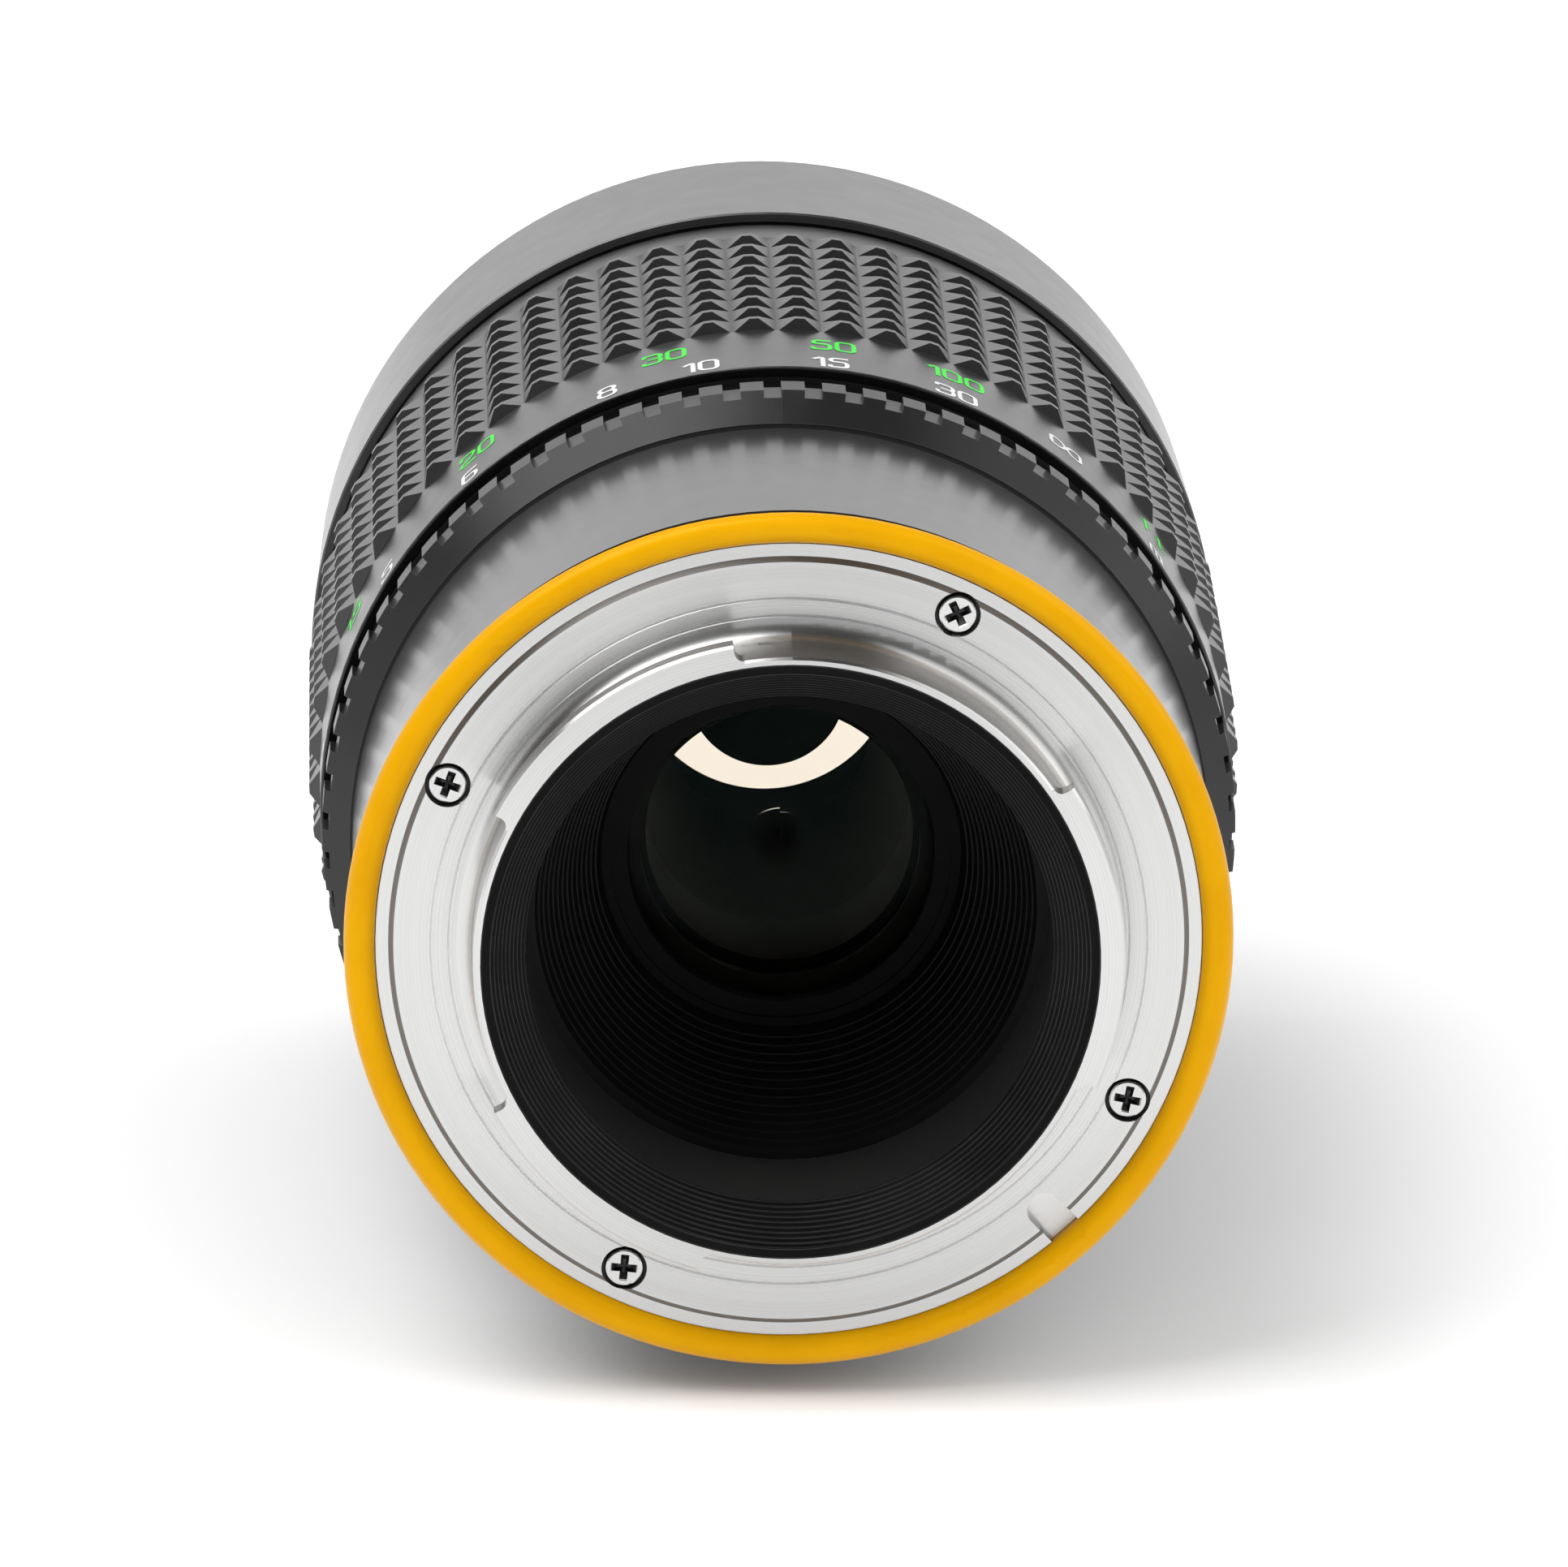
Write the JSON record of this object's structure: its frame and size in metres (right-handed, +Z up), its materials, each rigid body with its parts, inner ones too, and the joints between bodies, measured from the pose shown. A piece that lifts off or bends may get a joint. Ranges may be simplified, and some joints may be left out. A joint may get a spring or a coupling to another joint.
{
  "type": "mirror telephoto lens",
  "caption": "Manual-focus mirror telephoto lens: chrome bayonet with screws, yellow ring, castellated collar, pyramid-knurled focusing ring, flared front bell and mirror optics.",
  "frame": {"origin": "centre of the bayonet's seating face, on the optical axis", "axes": "+Y along the optical axis towards the front of the lens, +Z up with the lens lying on its side, +X to the right seen from the bayonet end"},
  "size_m": [0.066, 0.0957, 0.066],
  "materials": {
    "bayonet_chrome": "bright turned",
    "screw_chrome": "bright, cross recess",
    "accent_yellow": "satin yellow enamel",
    "barrel_black": "satin black anodised",
    "grip_black": "satin black anodised",
    "bell_black": "satin black anodised",
    "insert_black": "matt black, ribbed",
    "inner_black": "matt black anodised",
    "brass": "turned",
    "steel": "turned",
    "lens_glass": "coated",
    "mirror_silver": "silvered glass"
  },
  "bodies": {
    "barrel": {"mount_plate": "bayonet_chrome", "mount_screws": "screw_chrome", "accent_ring": "accent_yellow", "rear_barrel": "barrel_black", "throat_insert": "insert_black", "light_funnel": "inner_black", "castellated_collar": "barrel_black", "inner_barrel": "inner_black", "keeper_ring": "brass", "guide_keys": "brass", "primary_cell": "inner_black", "primary_mirror": "mirror_silver", "primary_ring": "inner_black", "baffle_tube": "inner_black", "rear_cell": "inner_black", "inner_rear_lens": "lens_glass", "outer_rear_lens": "lens_glass", "rear_spacer": "inner_black", "rear_ring": "inner_black"},
    "turning_grip": {"focus_ring": "grip_black", "stop_pin": "steel", "drive_nut": "brass"},
    "front_group": {"front_sleeve": "inner_black", "front_bell": "bell_black", "corrector_lens": "lens_glass", "corrector_ring": "inner_black", "secondary_cell": "inner_black", "secondary_mirror": "mirror_silver", "secondary_stop": "inner_black", "front_disc": "inner_black"}
  },
  "joints": [
    {"name": "focus_turn", "type": "hinge", "parent": "barrel", "child": "turning_grip", "pos_m": [0, 0.05, 0], "axis": [0, 1, 0], "range_deg": [-38.9, 205]},
    {"name": "front_slide", "type": "slide", "parent": "barrel", "child": "front_group", "axis": [0, 1, 0], "range_m": [-0.00065, 0.00342]}
  ],
  "couplings": [
    {"joint": "front_slide", "follows": "focus_turn", "m_per_rad": 0.00095493}
  ]
}
